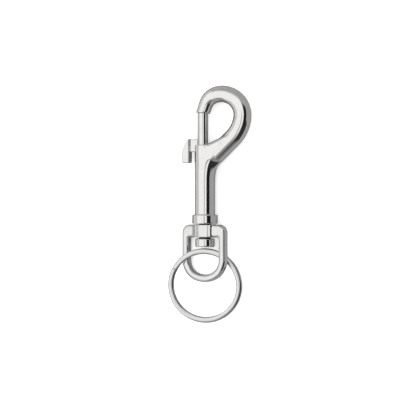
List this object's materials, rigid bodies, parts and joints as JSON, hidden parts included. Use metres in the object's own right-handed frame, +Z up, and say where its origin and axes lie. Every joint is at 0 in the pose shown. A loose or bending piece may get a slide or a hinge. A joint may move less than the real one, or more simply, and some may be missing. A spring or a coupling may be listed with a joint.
{
  "type": "swivel bolt snap hook",
  "caption": "Bolt snap with a round hook, sliding spring bolt with thumb lever, swivel eye and split key ring, lying flat.",
  "frame": {"origin": "centre of the bounding box's bottom face, on the surface that the snap lies on", "axes": "+Y along the barrel towards the hook, +X towards the hook's belly, away from the thumb lever, +Z up"},
  "size_m": [0.0346, 0.095, 0.0103],
  "materials": {
    "plated_casting": "bright nickel plating on a die casting",
    "plated_bolt": "bright nickel plating, worn where it slides",
    "spring_steel": "drawn spring wire",
    "plated_eye": "bright nickel plating on a die casting",
    "plated_ring": "nickel plated spring steel"
  },
  "bodies": {
    "snap": {"hook_body": "plated_casting", "bolt_spring": "spring_steel"},
    "bolt": {"thumb_bolt": "plated_bolt"},
    "eye": {"swivel_eye": "plated_eye"},
    "ring": {"split_ring": "plated_ring"}
  },
  "joints": [
    {"name": "bolt_slide", "type": "slide", "parent": "snap", "child": "bolt", "axis": [0, -1, 0], "range_m": [0, 0.0125], "stiffness_N_per_m": 400, "springref_m": -0.005, "deforming": ["bolt_spring"]},
    {"name": "eye_swivel", "type": "hinge", "parent": "snap", "child": "eye", "pos_m": [-0.00184, -0.01063, 0.00515], "axis": [0, 1, 0], "continuous": true},
    {"name": "ring_swing", "type": "hinge", "parent": "eye", "child": "ring", "pos_m": [-0.0023, -0.02101, 0.00468], "axis": [0.9962, 0.01, -0.0866], "range_deg": [-28, 10]}
  ]
}
